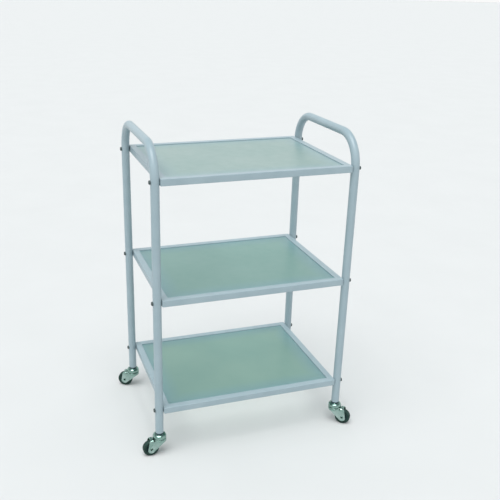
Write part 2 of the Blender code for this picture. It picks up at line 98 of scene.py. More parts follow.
TYRE_WIDTH = 0.017
HUB_RADIUS = 0.015
PLATE_Y = 0.0125  # outer face of a fork plate
SHEET = 0.002  # thickness of the fork's sheet
CROWN_REAR = 0.036  # how far behind the swivel axis the crown ends
CROWN_SHOULDER = 0.010  # radius of a plate's upper rear corner
FORK_FRONT = (-0.0165, 0.0470)  # (x, z) where a plate's front edge starts to slant
PLATE_END = 0.0115  # radius of a plate's lower end
PLATE_END_DROP = 0.0018  # of that end's middle below the axle
SLOT_RADII = (0.0215, 0.0245)  # of the fork's curved slots, about the swivel axis
SLOT_ANGLES = (10, 46)  # in degrees to each side of straight back
SLOT_LOW = 0.0505  # height of a slot's lower end
CUP_RADIUS = 0.0205  # of the fork's round head
CUP_SKIRT = 0.0470  # height of its lower edge
CUP_REACH = (0.004, 0.0165)  # how far back the skirt's lower and upper edges end
STEM_RADIUS = 0.0050
STEM_BORE = 0.0053  # radius of the hole in the plug and the cap
FORK_BORE = 0.0057  # radius of the hole in the fork's head
RIVET_RADIUS = 0.0035
RIVET_BORE = 0.0029
BALL_RING = 0.0145  # radius of the circle through the balls
BALL_RADIUS = 0.0024
BALL_COUNT = 16
RIB_COUNT = 8


# ---------------------------------------------------------------- mesh helpers
def add_object(name, data):
    """A new object in the scene, from a mesh, a curve, a camera or a light."""
    made = bpy.data.objects.new(name, data)
    bpy.context.scene.collection.objects.link(made)
    return made


def combine(target, other, operation):
    """Cuts the target with another object, or keeps what they share."""
    modifier = target.modifiers.new(operation, "BOOLEAN")
    modifier.operation = operation
    modifier.solver = "EXACT"
    modifier.object = other


def round_edges(target, width, segments=3, angle=50):
    """Rounds the edges that are sharper than an angle in degrees."""
    modifier = target.modifiers.new("edges", "BEVEL")
    modifier.width = width
    modifier.segments = segments
    modifier.limit_method = "ANGLE"
    modifier.angle_limit = math.radians(angle)


def baked(target, *scratch, sharp=CREASE):
    """The target's mesh with its modifiers applied. With rounded edges its large faces look flat, and
    without them it is smooth but for its creases. The target and the scratch objects are removed."""
    rounded = any(modifier.type == "BEVEL" for modifier in target.modifiers)
    if rounded:
        target.modifiers.new("flat", "WEIGHTED_NORMAL").weight = 100
    target.data.shade_smooth()
    bpy.context.view_layer.update()
    graph = bpy.context.evaluated_depsgraph_get()
    mesh = bpy.data.meshes.new_from_object(target.evaluated_get(graph))
    mesh.transform(target.matrix_world)
    if not rounded:
        mesh.shade_smooth()
        mesh.set_sharp_from_angle(angle=math.radians(sharp))
    for used in (target, *scratch):
        bpy.data.objects.remove(used)
    return mesh


def meshed(name, *shapes):
    """One mesh from any number of bmeshes, which it frees."""
    mesh = bpy.data.meshes.new(name)
    whole = bmesh.new()
    for shape in shapes:
        shape.to_mesh(mesh)
        shape.free()
        whole.from_mesh(mesh)
    whole.to_mesh(mesh)
    whole.free()
    return mesh


def solid(name, *shapes):
    """An object made of any number of bmeshes, which it frees."""
    return add_object(name, meshed(name, *shapes))


def joined(name, *meshes):
    """Several meshes as one. The first keeps its shading, and the others are smooth but for their creases."""
    objects = [add_object(f"{name}_{number}", mesh) for number, mesh in enumerate(meshes)]
    first = objects[0]
    for made in objects[1:]:
        made.data.shade_smooth()
        made.data.set_sharp_from_angle(angle=math.radians(CREASE))
    bpy.context.view_layer.update()
    chosen = {"selected_objects": objects, "selected_editable_objects": objects}
    with bpy.context.temp_override(active_object=first, object=first, **chosen):
        bpy.ops.object.join()
    mesh = first.data
    mesh.name = name
    bpy.data.objects.remove(first)
    return mesh


def box(low, high):
    """A block between its lowest and highest corners."""
    shape = bmesh.new()
    middle = (Vector(high) + Vector(low)) / 2
    size = Vector(high) - Vector(low)
    bmesh.ops.create_cube(shape, size=1, matrix=Matrix.Translation(middle) @ Matrix.Diagonal((*size, 1)))
    return shape


def rounded_block(low, high, corner, segments=5):
    """A block with its four upright edges rounded."""
    shape = box(low, high)
    tall = (high[2] - low[2]) / 2
    upright = [edge for edge in shape.edges if abs((edge.verts[0].co - edge.verts[1].co).z) > tall]
    bmesh.ops.bevel(shape, geom=upright, offset=corner, segments=segments, profile=0.5, affect="EDGES")
    return shape


def rod(centre, radius, length, axis, sides=32):
    """A cylinder, or a prism with a few sides, along X, Y or Z."""
    turns = {"X": Matrix.Rotation(math.pi / 2, 4, "Y"), "Y": Matrix.Rotation(math.pi / 2, 4, "X")}
    shape = bmesh.new()
    matrix = Matrix.Translation(centre) @ turns.get(axis, Matrix())
    bmesh.ops.create_cone(
        shape, cap_ends=True, segments=sides, radius1=radius, radius2=radius, depth=length, matrix=matrix
    )
    return shape


def arc(centre, radius, start, end, steps):
    """Points along an arc, from one angle in degrees to another."""
    angles = [math.radians(start + (end - start) * step / steps) for step in range(steps + 1)]
    return [(centre[0] + radius * math.cos(a), centre[1] + radius * math.sin(a)) for a in angles]


def ordered(shape):
    """The shape again, with its points and faces in order of place, because the order that bmesh leaves them
    in after a merge or an extrusion differs from run to run."""
    points = sorted(shape.verts, key=lambda vert: [round(value, 7) for value in vert.co])
    numbers = {vert: number for number, vert in enumerate(points)}
    loops = []
    for face in shape.faces:
        loop = [numbers[vert] for vert in face.verts]
        first = loop.index(min(loop))
        loops.append(loop[first:] + loop[:first])
    again = bmesh.new()
    made = [again.verts.new(point.co) for point in points]
    for loop in sorted(loops):
        again.faces.new([made[number] for number in loop])
    shape.free()
    return again


def turned(profile, steps=64, closed=True):
    """A shape turned about Z from (radius, height) points. A profile that isn't closed ends on the axis."""
    shape = bmesh.new()
    points = [shape.verts.new((radius, 0, height)) for radius, height in profile]
    pairs = list(zip(points, points[1:]))
    if closed:
        pairs.append((points[-1], points[0]))
    edges = [shape.edges.new(pair) for pair in pairs]
    bmesh.ops.spin(
        shape, geom=points + edges, cent=(0, 0, 0), axis=(0, 0, 1), angle=2 * math.pi, steps=steps,
        use_merge=True, use_normal_flip=False,
    )
    bmesh.ops.remove_doubles(shape, verts=shape.verts, dist=1e-6)
    bmesh.ops.recalc_face_normals(shape, faces=shape.faces)
    return ordered(shape)


def mirrored(upper):
    """A closed profile from its upper half."""
    return [*upper, *[(radius, -height) for radius, height in reversed(upper)]]


def lie_down(shape):
    """Turns a shape's axis from Z to Y."""
    bmesh.ops.transform(shape, matrix=Matrix.Rotation(math.pi / 2, 4, "X"), verts=shape.verts)
    return shape


def outline_plate(name, outline, low, high, upright=False):
    """A filled outline with a thickness. Upright, its second coordinate is the height."""
    shape = bmesh.new()
    corners = [shape.verts.new((x, y, low)) for x, y in outline]
    face = shape.faces.new(corners)
    grown = bmesh.ops.extrude_face_region(shape, geom=[face])["geom"]
    moved = [item for item in grown if isinstance(item, bmesh.types.BMVert)]
    bmesh.ops.translate(shape, verts=moved, vec=(0, 0, high - low))
    if upright:
        lie_down(shape)
    bmesh.ops.recalc_face_normals(shape, faces=shape.faces)
    return solid(name, ordered(shape))


# ---------------------------------------------------------------- material helpers
def add_node(tree, kind, settings=None, **inputs):
    """A node with its settings. An input is a value, or another node's output to link."""
    node = tree.nodes.new(kind)
    for name, value in (settings or {}).items():
        setattr(node, name, value)
    for name, value in inputs.items():
        socket = node.inputs[int(name[1:])] if name[0] == "i" and name[1:].isdigit() else node.inputs[name]
        if isinstance(value, bpy.types.NodeSocket):
            tree.links.new(value, socket)
        else:
            socket.default_value = value
    return node


def noise(tree, scale, detail=2.0, stretch=(1, 1, 1), roughness=0.5):
    """Noise in the piece's own space, with features 1 / scale metres across."""
    point = add_node(tree, "ShaderNodeTexCoord").outputs["Object"]
    size = [scale * side for side in stretch]
    scaled = add_node(tree, "ShaderNodeMapping", Vector=point, Scale=size).outputs["Vector"]
    texture = add_node(
        tree, "ShaderNodeTexNoise", Vector=scaled, Scale=1.0, Detail=detail, Roughness=roughness
    )
    return texture.outputs["Fac"]


def remap(tree, value, low, high, to_low=0.0, to_high=1.0):
    """The value from low to high, as a value from to_low to to_high."""
    node = add_node(tree, "ShaderNodeMapRange", i0=value, i1=low, i2=high, i3=to_low, i4=to_high)
    return node.outputs[0]


def varied(tree, texture, low, high):
    """A number that varies from low to high with a noise texture."""
    return remap(tree, texture, 0.3, 0.7, low, high)


def calculate(tree, operation, first, second):
    """The result of a Math node."""
    node = add_node(tree, "ShaderNodeMath", {"operation": operation}, i0=first, i1=second)
    return node.outputs[0]


def mixed(tree, amount, first, second):
    """One colour turning into another. The amount is a node's output, and so may the colours be."""
    node = add_node(tree, "ShaderNodeMix", {"data_type": "RGBA"}, i0=amount)
    for socket, value in ((node.inputs[6], first), (node.inputs[7], second)):
        if isinstance(value, bpy.types.NodeSocket):
            tree.links.new(value, socket)
        else:
            socket.default_value = (*value, 1.0)
    return node.outputs[2]


def toned(tree, texture, dark, light):
    """A colour that varies from dark to light with a noise texture."""
    return mixed(tree, remap(tree, texture, 0.35, 0.65), dark, light)


def weakened(tree, mask, strength):
    """A mask that goes up to a strength instead of 1."""
    return calculate(tree, "MULTIPLY", mask, strength)


def edge_mask(tree, low=0.53, high=0.62):
    """1 on a finely meshed piece's edges and 0 on its faces."""
    geometry = add_node(tree, "ShaderNodeNewGeometry")
    return remap(tree, geometry.outputs["Pointiness"], low, high)


def bump(tree, *layers):
    """Bumps on top of each other. A layer is (height, depth in metres, strength)."""
    normal = None
    for height, depth, strength in layers:
        node = add_node(tree, "ShaderNodeBump", Height=height, Distance=depth, Strength=strength)
        if normal:
            tree.links.new(normal, node.inputs["Normal"])
        normal = node.outputs["Normal"]
    return normal


def new_material(name, **sockets):
    """A Principled material, its nodes' tree, and a function that links or sets a socket of its shader."""
    material = bpy.data.materials.new(name)
    material.use_nodes = True
    tree = material.node_tree
    shader = tree.nodes["Principled BSDF"]

    def put(socket, value):
        target = shader.inputs[socket]
        if isinstance(value, bpy.types.NodeSocket):
            tree.links.new(value, target)
        else:
            target.default_value = value

    for socket, value in sockets.items():
        put(socket.replace("_", " "), value)
    return material, tree, put


# ---------------------------------------------------------------- materials
PAINT_DARK = (0.287, 0.378, 0.418)
PAINT_LIGHT = (0.315, 0.407, 0.446)
PAINT_SPECK = (0.46, 0.54, 0.57)
PAINT_SCUFF = (0.22, 0.30, 0.33)
ZINC_DARK = (0.20, 0.33, 0.29)
ZINC_LIGHT = (0.30, 0.45, 0.40)
ZINC_STAIN = (0.09, 0.19, 0.17)
ZINC_EDGE = (0.60, 0.72, 0.69)
STEEL_DARK = (0.20, 0.24, 0.24)
STEEL_LIGHT = (0.34, 0.38, 0.37)
BOLT_DARK = (0.05, 0.07, 0.07)
BOLT_LIGHT = (0.10, 0.13, 0.13)
BOLT_WORN = (0.35, 0.40, 0.40)
RUBBER_DARK = (0.007, 0.028, 0.022)
RUBBER_LIGHT = (0.013, 0.045, 0.037)
RUBBER_DUST = (0.05, 0.105, 0.09)
PLASTIC_DARK = (0.006, 0.026, 0.032)
PLASTIC_LIGHT = (0.012, 0.042, 0.052)
# The top pane's tones are painted lighter and greyer, for the light from above and the bright surround it
# reflects; the middle and bottom ones are darker, as painted shade under the shelves above.
GLASS_COLOURS = {  # two tones of the face, and one of the painted reflection of the rails near the edges
    "top": ((0.25, 0.37, 0.35), (0.28, 0.39, 0.37), (0.255, 0.38, 0.395)),
    "middle": ((0.17, 0.31, 0.28), (0.19, 0.33, 0.30), (0.185, 0.325, 0.345)),
    "bottom": ((0.19, 0.33, 0.29), (0.22, 0.36, 0.31), (0.185, 0.325, 0.340)),
}
RAIL_REFLECTION_REACH = 0.055  # how far the painted reflection of the rails fades in from a pane's edges


def powder_coat():
    """Pale blue-grey powder coat: fine orange peel, faint clouding, and a few soft scuffs."""
    material, tree, put = new_material("powder_coat", IOR=1.5)
    cloud = noise(tree, 14, 3)
    speckle = noise(tree, 2600, 2)
    scuff = remap(tree, noise(tree, 60, 4, stretch=(1, 1, 0.12), roughness=0.6), 0.64, 0.72)
    plain = toned(tree, cloud, PAINT_DARK, PAINT_LIGHT)
    speckled = mixed(tree, remap(tree, speckle, 0.62, 0.75, 0.0, 0.12), plain, PAINT_SPECK)
    put("Base Color", mixed(tree, weakened(tree, scuff, 0.18), speckled, PAINT_SCUFF))
    put("Roughness", calculate(tree, "ADD", varied(tree, cloud, 0.30, 0.38), weakened(tree, scuff, 0.14)))
    peel = noise(tree, 520, 2)
    put("Normal", bump(tree, (peel, 0.0004, 0.5), (speckle, 0.00006, 0.2)))
    return material


def near_edge(tree):
    """1 at a pane's edges, falling to 0 a little way in: where the reflection of the rails is painted."""
    point = add_node(tree, "ShaderNodeTexCoord")
    split = add_node(tree, "ShaderNodeSeparateXYZ", Vector=point.outputs["Object"])
    bands = []
    for axis, edge in (("X", PANE_HIGH.x), ("Y", PANE_HIGH.y)):
        distance = calculate(tree, "ABSOLUTE", split.outputs[axis], 0.0)
        bands.append(remap(tree, distance, edge - RAIL_REFLECTION_REACH, edge))
    return calculate(tree, "MAXIMUM", *bands)


def obscured_glass(name, dark, light, rail_reflection):
    """Sea-green obscured glass with satin faces. It shows little of what is behind it, and near its edges a
    painted reflection of the rails makes it bluer."""
    material, tree, put = new_material(name, IOR=1.5, Transmission_Weight=0.22)
    cloud = noise(tree, 5, 2)
    grain = noise(tree, 700, 2)
    face = toned(tree, cloud, dark, light)
    # painted reflection: bluer towards the edges, standing in for the rails that the glass reflects
    put("Base Color", mixed(tree, near_edge(tree), face, rail_reflection))
    put("Roughness", varied(tree, noise(tree, 30, 4), 0.30, 0.38))
    put("Normal", bump(tree, (noise(tree, 45, 2), 0.0006, 0.12), (grain, 0.00006, 0.2)))
    return material


def zinc_plate():
    """Bright zinc plate with a green cast, a faint spangle, fine drawing marks and dull low spots."""
    material, tree, put = new_material("zinc_plate", Metallic=1.0)
    spangle = noise(tree, 420, 3, roughness=0.6)
    marks = noise(tree, 900, 2, stretch=(0.08, 1, 1))
    stain = remap(tree, noise(tree, 110, 4), 0.50, 0.70)
    plain = toned(tree, spangle, ZINC_DARK, ZINC_LIGHT)
    stained = mixed(tree, weakened(tree, stain, 0.45), plain, ZINC_STAIN)
    put("Base Color", mixed(tree, weakened(tree, edge_mask(tree), 0.5), stained, ZINC_EDGE))
    put("Roughness", calculate(tree, "ADD", varied(tree, spangle, 0.13, 0.20), weakened(tree, stain, 0.06)))
    put("Normal", bump(tree, (marks, 0.00006, 0.18), (spangle, 0.00004, 0.15)))
    return material


def plain_steel():
    """Turned steel, oiled and a little dull, with rings from the lathe."""
    material, tree, put = new_material("turned_steel", Metallic=1.0)
    tone = noise(tree, 260, 3)
    rings = noise(tree, 1500, 1, stretch=(0.05, 0.05, 1))
    put("Base Color", toned(tree, tone, STEEL_DARK, STEEL_LIGHT))
    put("Roughness", varied(tree, tone, 0.28, 0.42))
    put("Normal", bump(tree, (rings, 0.00005, 0.2)))
    return material


def dark_bolt():
    """Blackened bolt steel, worn brighter on its edges."""
    material, tree, put = new_material("bolt_steel", Metallic=0.9)
    tone = noise(tree, 500, 3)
    worn = calculate(tree, "MULTIPLY", edge_mask(tree, 0.52, 0.60), remap(tree, tone, 0.3, 0.6, 0.3, 1.0))
    plain = toned(tree, tone, BOLT_DARK, BOLT_LIGHT)
    put("Base Color", mixed(tree, weakened(tree, worn, 0.6), plain, BOLT_WORN))
    put("Roughness", varied(tree, tone, 0.34, 0.50))
    put("Normal", bump(tree, (noise(tree, 1800, 2), 0.00005, 0.25)))
    return material


def tyre_rubber():
    """Dark green-grey rubber: matt, dusty on its worn tread, with a fine grain."""
    material, tree, put = new_material("tyre_rubber", Specular_IOR_Level=0.28)
    tone = noise(tree, 130, 4)
    dust = remap(tree, noise(tree, 320, 4, roughness=0.65), 0.48, 0.68)
    plain = toned(tree, tone, RUBBER_DARK, RUBBER_LIGHT)
    dusty = mixed(tree, weakened(tree, dust, 0.18), plain, RUBBER_DUST)
    put("Base Color", mixed(tree, weakened(tree, edge_mask(tree), 0.25), dusty, RUBBER_DUST))
    put("Roughness", remap(tree, dust, 0.0, 1.0, 0.52, 0.78))
    put("Normal", bump(tree, (noise(tree, 2200, 2), 0.00008, 0.35), (tone, 0.0002, 0.15)))
    return material


def moulded_plastic():
    """Dark moulded plastic with a fine spark-eroded grain."""
    material, tree, put = new_material("moulded_plastic", IOR=1.48, Specular_IOR_Level=0.35)
    tone = noise(tree, 180, 3)
    grain = noise(tree, 3200, 1)
    put("Base Color", toned(tree, tone, PLASTIC_DARK, PLASTIC_LIGHT))
    put("Roughness", varied(tree, tone, 0.38, 0.52))
    put("Normal", bump(tree, (grain, 0.00005, 0.3)))
    return material


PAINT = powder_coat()
# each shelf's glass, the same glass painted lighter on top as lit and darker on the two below as shaded
GLASS_LIT_AND_SHADED = {
    shelf: obscured_glass(f"{shelf}_glass", *colours) for shelf, colours in GLASS_COLOURS.items()
}
ZINC = zinc_plate()
STEEL = plain_steel()
BOLT = dark_bolt()
RUBBER = tyre_rubber()
PLASTIC = moulded_plastic()


# ---------------------------------------------------------------- frame pieces
def side_frame_mesh():
    """The bent tube, in the plane x = 0, open at the feet."""
    bend_y = LEG_Y - BEND_RADIUS
    bend_z = HANDLE_HEIGHT - BEND_RADIUS
    front = arc((-bend_y, bend_z), BEND_RADIUS, 180, 90, 20)
    back = arc((bend_y, bend_z), BEND_RADIUS, 90, 0, 20)
    path = [(-LEG_Y, LEG_BOTTOM), *front, *back, (LEG_Y, LEG_BOTTOM)]
    curve = bpy.data.curves.new("side_frame_path", "CURVE")
    curve.dimensions = "3D"
    curve.bevel_depth = TUBE_RADIUS
    curve.bevel_resolution = 16
    spline = curve.splines.new("POLY")
    spline.points.add(len(path) - 1)
    for point, (y, z) in zip(spline.points, path):
        point.co = (0, y, z, 1)
    line = add_object("side_frame_path", curve)
    bpy.context.view_layer.update()
    skin = bpy.data.meshes.new_from_object(line.evaluated_get(bpy.context.evaluated_depsgraph_get()))
    bpy.data.objects.remove(line)
    tube = add_object("side_frame_tube", skin)
    wall = tube.modifiers.new("wall", "SOLIDIFY")
    wall.thickness = TUBE_WALL
    wall.offset = -1
    wall.use_even_offset = True
    return baked(tube)


def weld_bead(start, end, width, ripples):
    """A low bead of weld between two points, under the paint, made of overlapping flattened balls."""
    overlap = 0.75  # half a ball's length, as a part of the step between two
    flatness = 0.22  # half a ball's height, as a part of the width
    shape = bmesh.new()
    along = Vector(end) - Vector(start)
    turn = along.to_track_quat("X", "Z").to_matrix().to_4x4()
    size = Matrix.Diagonal((along.length / ripples * overlap, width / 2, width * flatness, 1))
    for step in range(ripples):
        middle = Vector(start) + along * (step + 0.5) / ripples
        matrix = Matrix.Translation(middle) @ turn @ size
        bmesh.ops.create_uvsphere(shape, u_segments=10, v_segments=6, radius=1, matrix=matrix)
    return meshed("bead", ordered(shape))


def shelf_frame_mesh():
    """A welded frame of square tube with its top at z = 0: rounded rails, mitre welds at the corners, and
    the tabs that carry the glass."""
    half_x, half_y = SHELF_HIGH.x, SHELF_HIGH.y
    inner_x, inner_y = half_x - RAIL, half_y - RAIL
    ring = solid("ring", rounded_block((-half_x, -half_y, -RAIL), (half_x, half_y, 0), RAIL_CORNER))
    hole = solid("ring_middle", box((-inner_x, -inner_y, -2 * RAIL), (inner_x, inner_y, RAIL)))
    combine(ring, hole, "DIFFERENCE")
    round_edges(ring, RAIL_EDGE)
    rails = baked(ring, hole)

    extras = []
    tab_top = -GLASS_RECESS - GLASS - GAP
    bead_z = tab_top - TAB_SHEET - 0.0001
    mitre_z = -RAIL + 0.0002
    for sx in (-1, 1):
        for sy in (-1, 1):
            x, y = sx * (inner_x + TAB_OVERLAP), sy * (inner_y + TAB_OVERLAP)
            outline = [(x, y), (x - sx * TAB_LEG, y), (x, y - sy * TAB_LEG)]
            tab = outline_plate("tab", outline, tab_top - TAB_SHEET, tab_top)
            round_edges(tab, 0.0004, 2)
            extras.append(baked(tab))
            near, far = TAB_BEAD
            extras.append(weld_bead((x - sx * near, y, bead_z), (x - sx * far, y, bead_z), *TAB_WELD))
            extras.append(weld_bead((x, y - sy * near, bead_z), (x, y - sy * far, bead_z), *TAB_WELD))
            inner = (sx * (inner_x + 0.001), sy * (inner_y + 0.001), mitre_z)
            outer = (sx * (half_x - 0.003), sy * (half_y - 0.003), mitre_z)
            extras.append(weld_bead(inner, outer, *MITRE_WELD))
    return joined("shelf_frame_look", rails, *extras)


def pane_mesh():
    """A pane with ground edges that just clears its frame, with the frame's top at z = 0."""
    reach_x = SHELF_HIGH.x - RAIL - GAP
    reach_y = SHELF_HIGH.y - RAIL - GAP
    low = (-reach_x, -reach_y, -GLASS_RECESS - GLASS)
    high = (reach_x, reach_y, -GLASS_RECESS)
    pane = solid("pane", rounded_block(low, high, PANE_CORNER))
    round_edges(pane, PANE_EDGE, 2)
    return baked(pane)


def bolt_mesh():
    """A bolt along +X, from the outer side of a leg with its axis at x = 0: a chamfered hexagon head, a
    washer and a shank."""
    low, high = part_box("front_left_top_bolt")
    leg_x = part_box("left_side_frame")[0].x + TUBE_RADIUS
    face, end = low.x - leg_x, high.x - leg_x
    seat = -TUBE_RADIUS - GAP
    height = seat - face
    across = high.y - low.y
    hexagon = solid("head", rod(((face + seat) / 2, 0, 0), across / 2, height, "X", sides=6))
    narrow, wide = across * 0.40, across * 0.52  # the chamfer's radii, at the face and below it
    profile = [(0, 0), (narrow, 0), (wide, -height * 0.28), (wide, -height), (0, -height)]
    cone = turned(profile, 48, closed=False)
    matrix = Matrix.Translation((face, 0, 0)) @ Matrix.Rotation(-math.pi / 2, 4, "Y")
    bmesh.ops.transform(cone, matrix=matrix, verts=cone.verts)
    bmesh.ops.recalc_face_normals(cone, faces=cone.faces)
    chamfer = solid("chamfer", cone)
    combine(hexagon, chamfer, "INTERSECT")
    round_edges(hexagon, 0.0003, 2, 25)
    head = baked(hexagon, chamfer)
    washer = rod((seat - 0.0003, 0, 0), across * 0.56, 0.0007, "X", sides=48)
    shank = rod(((seat + end) / 2, 0, 0), 0.003, end - seat, "X")
    return joined("bolt_look", head, meshed("washer", washer), meshed("shank", shank))


# ---------------------------------------------------------------- casters, about a swivel axis at x = y = 0
def plug_mesh():
    """The plug in a leg's foot: a rounded flange under the tube and a tapered body inside it."""
    top = LEG_BOTTOM - GAP
    outer = TUBE_RADIUS - 0.0001
    edge = 0.0008
    profile = [
        (STEM_BORE, 0.103),
        (0.0095, 0.103),
        (0.0105, 0.100),
        (0.0105, top),
        (outer - edge, top),
        *arc((outer - edge, PLUG_LOW + edge), edge, 90, -90, 6),
        (STEM_BORE, PLUG_LOW),
    ]
    return baked(solid("plug", turned(profile)))


def stem_mesh():
    """The stem, riveted over under the fork's crown with a dimpled end."""
    crown_low = CROWN_TOP - SHEET - GAP
    head = 0.0078
    profile = [
        (0, 0.106),
        (0.0040, 0.106),
        (STEM_RADIUS, 0.105),
        (STEM_RADIUS, crown_low),
        *arc((head - 0.0008, crown_low - 0.0008), 0.0008, 90, 0, 4),
        *arc((head - 0.0014, crown_low - 0.0008), 0.0014, 0, -90, 5),
        (0.0030, crown_low - 0.0022),
        (0.0020, crown_low - 0.0012),
        (0, crown_low - 0.0010),
    ]
    return baked(solid("stem", turned(profile, 48, closed=False)))


def cap_mesh():
    """The domed upper race: a pressed cup with a rolled lip."""
    top, low = CAP_HIGH.z, CAP_LOW.z
    wide = CAP_RADIUS - 0.0001
    lip = 0.0008
    dome = 0.0085
    wall = 0.0017
    profile = [
        (STEM_BORE, top),
        (0.0118, top),
        (0.0124, top - 0.0007),
        (0.0132, top - 0.0002),
        *arc((wide - dome, top - dome), dome, 84, 0, 14),
        *arc((wide - lip, low + lip), lip, 0, -180, 6),
        *arc((wide - dome, top - dome), dome - wall, 0, 84, 8),
        (STEM_BORE, top - wall),
    ]
    return baked(solid("cap", turned(profile, 72)))


def ball_ring_mesh():
    """The balls between the races, in a thin pressed cage."""
    height = FORK_TOP + GAP + BALL_RADIUS
    balls = bmesh.new()
    for number in range(BALL_COUNT):
        angle = 2 * math.pi * number / BALL_COUNT
        place_at = Matrix.Translation((BALL_RING * math.cos(angle), BALL_RING * math.sin(angle), height))
        bmesh.ops.create_uvsphere(balls, u_segments=16, v_segments=10, radius=BALL_RADIUS, matrix=place_at)
    inner, outer = BALL_RING - 0.0016, BALL_RING + 0.0016
    upper, lower = height + 0.0004, height - 0.0004
    cage = turned([(inner, upper), (outer, upper), (outer, lower), (inner, lower)])
    return baked(solid("balls", ordered(balls), cage))


def touching_angles(centre, radius, point):
    """The angles in degrees at which the two tangents from a point touch a circle, the larger one last."""
    across = point[0] - centre[0]
    up = point[1] - centre[1]
    middle = math.degrees(math.atan2(up, across))
    spread = math.degrees(math.acos(radius / math.hypot(across, up)))
    return middle - spread, middle + spread


def fork_side_outline():
    """(x, z) round a fork plate: a slanting front edge, a round lower end and a steep rear edge."""
    above = CROWN_TOP + SHEET
    lower = (TRAIL, AXLE_HEIGHT - PLATE_END_DROP)
    shoulder = (CROWN_REAR - CROWN_SHOULDER, CROWN_TOP - CROWN_SHOULDER)
    start = touching_angles(lower, PLATE_END, FORK_FRONT)[1] - 360
    end = touching_angles(lower, PLATE_END, (CROWN_REAR, shoulder[1]))[0]
    return [
        (FORK_FRONT[0], above),
        FORK_FRONT,
        *arc(lower, PLATE_END, start, end, 24),
        *arc(shoulder, CROWN_SHOULDER, 0, 80, 8),
        (shoulder[0], above),
    ]


def fork_sheet():
    """The outer face of the two plates and the crown, a bent sheet that is cut to its outline later."""
    bend = 0.0055
    bottom = 0.005
    half = [(PLATE_Y, bottom), *arc((PLATE_Y - bend, CROWN_TOP - bend), bend, 0, 90, 8)]
    section = [(-y, z) for y, z in half] + [(y, z) for y, z in reversed(half)]
    reach = 2 * TRAIL
    shape = bmesh.new()
    points = [shape.verts.new((-reach, y, z)) for y, z in section]
    edges = [shape.edges.new(pair) for pair in zip(points, points[1:])]
    grown = bmesh.ops.extrude_edge_only(shape, edges=edges)["geom"]
    moved = [item for item in grown if isinstance(item, bmesh.types.BMVert)]
    bmesh.ops.translate(shape, verts=moved, vec=(2 * reach, 0, 0))
    bmesh.ops.recalc_face_normals(shape, faces=shape.faces)
    if max(shape.faces, key=lambda face: face.calc_center_median().z).normal.z < 0:
        bmesh.ops.reverse_faces(shape, faces=shape.faces)
    return solid("fork_sheet", ordered(shape))


def fork_cup():
    """The fork's round head, with a grooved ball race on top and a skirt with a soft shoulder."""
    crown_low = CROWN_TOP - SHEET
    shoulder = 0.0030
    wide = CUP_RADIUS - shoulder
    inside = CUP_RADIUS - SHEET
    profile = [
        (FORK_BORE, FORK_TOP - 0.001),
        (0.0068, FORK_TOP),
        (0.0122, FORK_TOP),
        *arc((BALL_RING, FORK_TOP + 0.0012), 0.0025, 208, 332, 6),
        (0.0170, FORK_TOP),
        (0.0178, FORK_TOP - 0.0012),
        (0.0180, CROWN_TOP),
        *arc((wide, CROWN_TOP - shoulder), shoulder, 84, 0, 6),
        (CUP_RADIUS, CUP_SKIRT + 0.0004),
        (CUP_RADIUS - 0.0004, CUP_SKIRT),
        (inside + 0.0003, CUP_SKIRT),
        (inside, CUP_SKIRT + 0.0004),
        (inside, crown_low),
        (FORK_BORE, crown_low),
    ]
    return solid("fork_cup", turned(profile))


def slot_cutters():
    """The two slots behind the round head, which run over the bends and down into the plates."""
    inner, outer = SLOT_RADII
    start, end = SLOT_ANGLES
    cutters = []
    for side in (-1, 1):
        near = arc((0, 0), inner, side * start, side * end, 14)
        far = arc((0, 0), outer, side * end, side * start, 14)
        cutters.append(outline_plate("fork_slot", near + far, SLOT_LOW, CROWN_TOP + SHEET))
    return cutters


def fork_mesh():
    """The pressed fork with softened edges, two slots, and a head whose skirt runs out into the plates."""
    fork = fork_sheet()
    sheet = fork.modifiers.new("sheet", "SOLIDIFY")
    sheet.thickness = SHEET
    sheet.offset = -1
    side = outline_plate("fork_side", fork_side_outline(), -2 * PLATE_Y, 2 * PLATE_Y, upright=True)
    combine(fork, side, "INTERSECT")
    slots = slot_cutters()
    for slot in slots:
        combine(fork, slot, "DIFFERENCE")
    round_edges(fork, 0.0004, 2, 60)
    stem_hole = rod((0, 0, CROWN_TOP), FORK_BORE, 4 * SHEET, "Z")
    axle_hole = rod((TRAIL, 0, AXLE_HEIGHT), RIVET_RADIUS + GAP, 4 * PLATE_Y, "Y")
    holes = solid("fork_holes", stem_hole, axle_hole)
    combine(fork, holes, "DIFFERENCE")
    plates = baked(fork, side, holes, *slots)

    cup = fork_cup()
    crown_low = CROWN_TOP - SHEET
    below = CUP_SKIRT - SHEET
    behind = 2 * CUP_RADIUS
    slant = (CUP_REACH[1] - CUP_REACH[0]) / (crown_low - CUP_SKIRT)
    outline = [
        (CUP_REACH[1], crown_low),
        (CUP_REACH[0] - slant * SHEET, below),
        (behind, below),
        (behind, crown_low),
    ]
    rear = outline_plate("cup_rear", outline, -behind, behind, upright=True)
    combine(cup, rear, "DIFFERENCE")
    head = baked(cup, rear)
    return joined("fork_look", plates, head)


def rivet_mesh():
    """The axle: a tubular rivet, rolled over on both sides, so that its end looks hollow."""
    face = PLATE_Y + GAP
    roll = 0.0009
    middle = 0.0040
    upper = [
        (RIVET_BORE, face - 0.001),
        *arc((middle, face + 0.0002), roll, 172, 0, 10),
        (middle + roll, face),
        (RIVET_RADIUS, face),
    ]
    return baked(solid("rivet", lie_down(turned(mirrored(upper), 48))))


